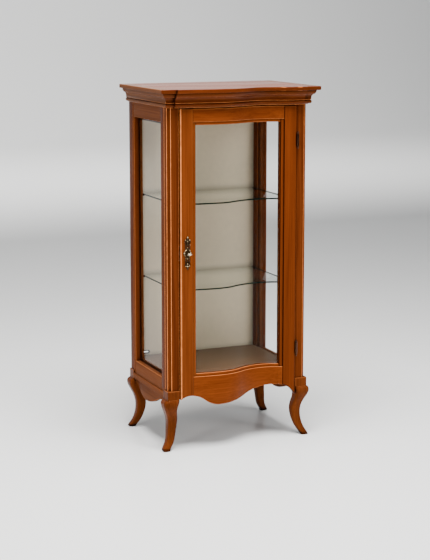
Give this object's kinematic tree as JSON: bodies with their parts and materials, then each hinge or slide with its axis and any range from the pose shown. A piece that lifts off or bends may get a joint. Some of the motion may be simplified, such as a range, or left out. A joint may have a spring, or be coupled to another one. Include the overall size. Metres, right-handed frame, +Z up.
{
  "type": "display cabinet",
  "caption": "Tall wooden display cabinet on cabriole legs, with a serpentine glazed door, glass sides, glass shelves, a crown cornice, a pierced brass lock plate and a key.",
  "frame": {"origin": "centre of the base of the bounding box, on the floor", "axes": "+Z up, -Y is the glazed front, +X is to the right of a person who faces the door"},
  "size_m": [0.688, 0.499, 1.45],
  "materials": {
    "wood_polished": "cherry-stained, polished to a gloss",
    "wood_inside": "stained brown, satin",
    "back_lining": "painted pale greige, matt",
    "clear_glass": "clear, polished",
    "shelf_glass": "clear with green edges",
    "antique_brass": "cast and antiqued, satin",
    "hinge_brass": "turned, satin",
    "lock_steel": "brushed",
    "felt": "brown felt",
    "buffer_rubber": "soft, matt",
    "grommet_plastic": "matt dark brown"
  },
  "bodies": {
    "case": {"back_panel": "back_lining", "base_moulding_left": "wood_polished", "base_moulding_right": "wood_polished", "cable_grommet": "grommet_plastic", "ceiling_board": "wood_inside", "corner_blocks": "wood_inside", "cornice_corner_left": "wood_polished", "cornice_corner_right": "wood_polished", "cornice_front": "wood_polished", "cornice_side_left": "wood_polished", "cornice_side_right": "wood_polished", "door_bumpers": "buffer_rubber", "floor_board": "wood_inside", "foot_glides": "felt", "front_bottom_rail": "wood_inside", "front_top_rail": "wood_polished", "hinge_leaf_post_lower": "hinge_brass", "hinge_leaf_post_upper": "hinge_brass", "hinge_pins": "hinge_brass", "hinge_screws_post": "hinge_brass", "leg_front_left": "wood_polished", "leg_front_right": "wood_polished", "leg_rear_left": "wood_polished", "leg_rear_right": "wood_polished", "post_front_left": "wood_polished", "post_front_right": "wood_polished", "post_rear_left": "wood_polished", "post_rear_right": "wood_polished", "rear_bottom_rail": "wood_inside", "rear_top_rail": "wood_inside", "shelf_lower": "shelf_glass", "shelf_pins_left": "hinge_brass", "shelf_pins_right": "hinge_brass", "shelf_upper": "shelf_glass", "side_apron_left": "wood_polished", "side_apron_right": "wood_polished", "side_beads_left": "wood_polished", "side_beads_right": "wood_polished", "side_glass_left": "clear_glass", "side_glass_right": "clear_glass", "side_head_rail_left": "wood_polished", "side_head_rail_right": "wood_polished", "strike_plate": "hinge_brass", "top_board": "wood_polished"},
    "door": {"door_stile_left": "wood_polished", "door_stile_right": "wood_polished", "door_top_rail": "wood_polished", "door_bottom_rail": "wood_polished", "door_glass": "clear_glass", "door_beads": "wood_polished", "lock_case": "lock_steel", "escutcheon": "antique_brass", "escutcheon_pins": "antique_brass", "hinge_leaf_door_lower": "hinge_brass", "hinge_leaf_door_upper": "hinge_brass", "hinge_screws_door": "hinge_brass"},
    "key": {"key": "antique_brass"},
    "bolt": {"lock_bolt": "lock_steel"}
  },
  "joints": [
    {"name": "door_swing", "type": "hinge", "parent": "case", "child": "door", "pos_m": [0.255, -0.196, 0.807], "axis": [0, 0, 1], "range_deg": [0, 110]},
    {"name": "key_turn", "type": "hinge", "parent": "door", "child": "key", "pos_m": [-0.225, -0.19, 0.8033], "axis": [0, 1, 0], "range_deg": [0, 90]},
    {"name": "bolt_slide", "type": "slide", "parent": "door", "child": "bolt", "axis": [-1, 0, 0], "range_m": [0, 0.008]}
  ],
  "couplings": [
    {"joint": "bolt_slide", "follows": "key_turn", "m_per_rad": 0.00509}
  ]
}
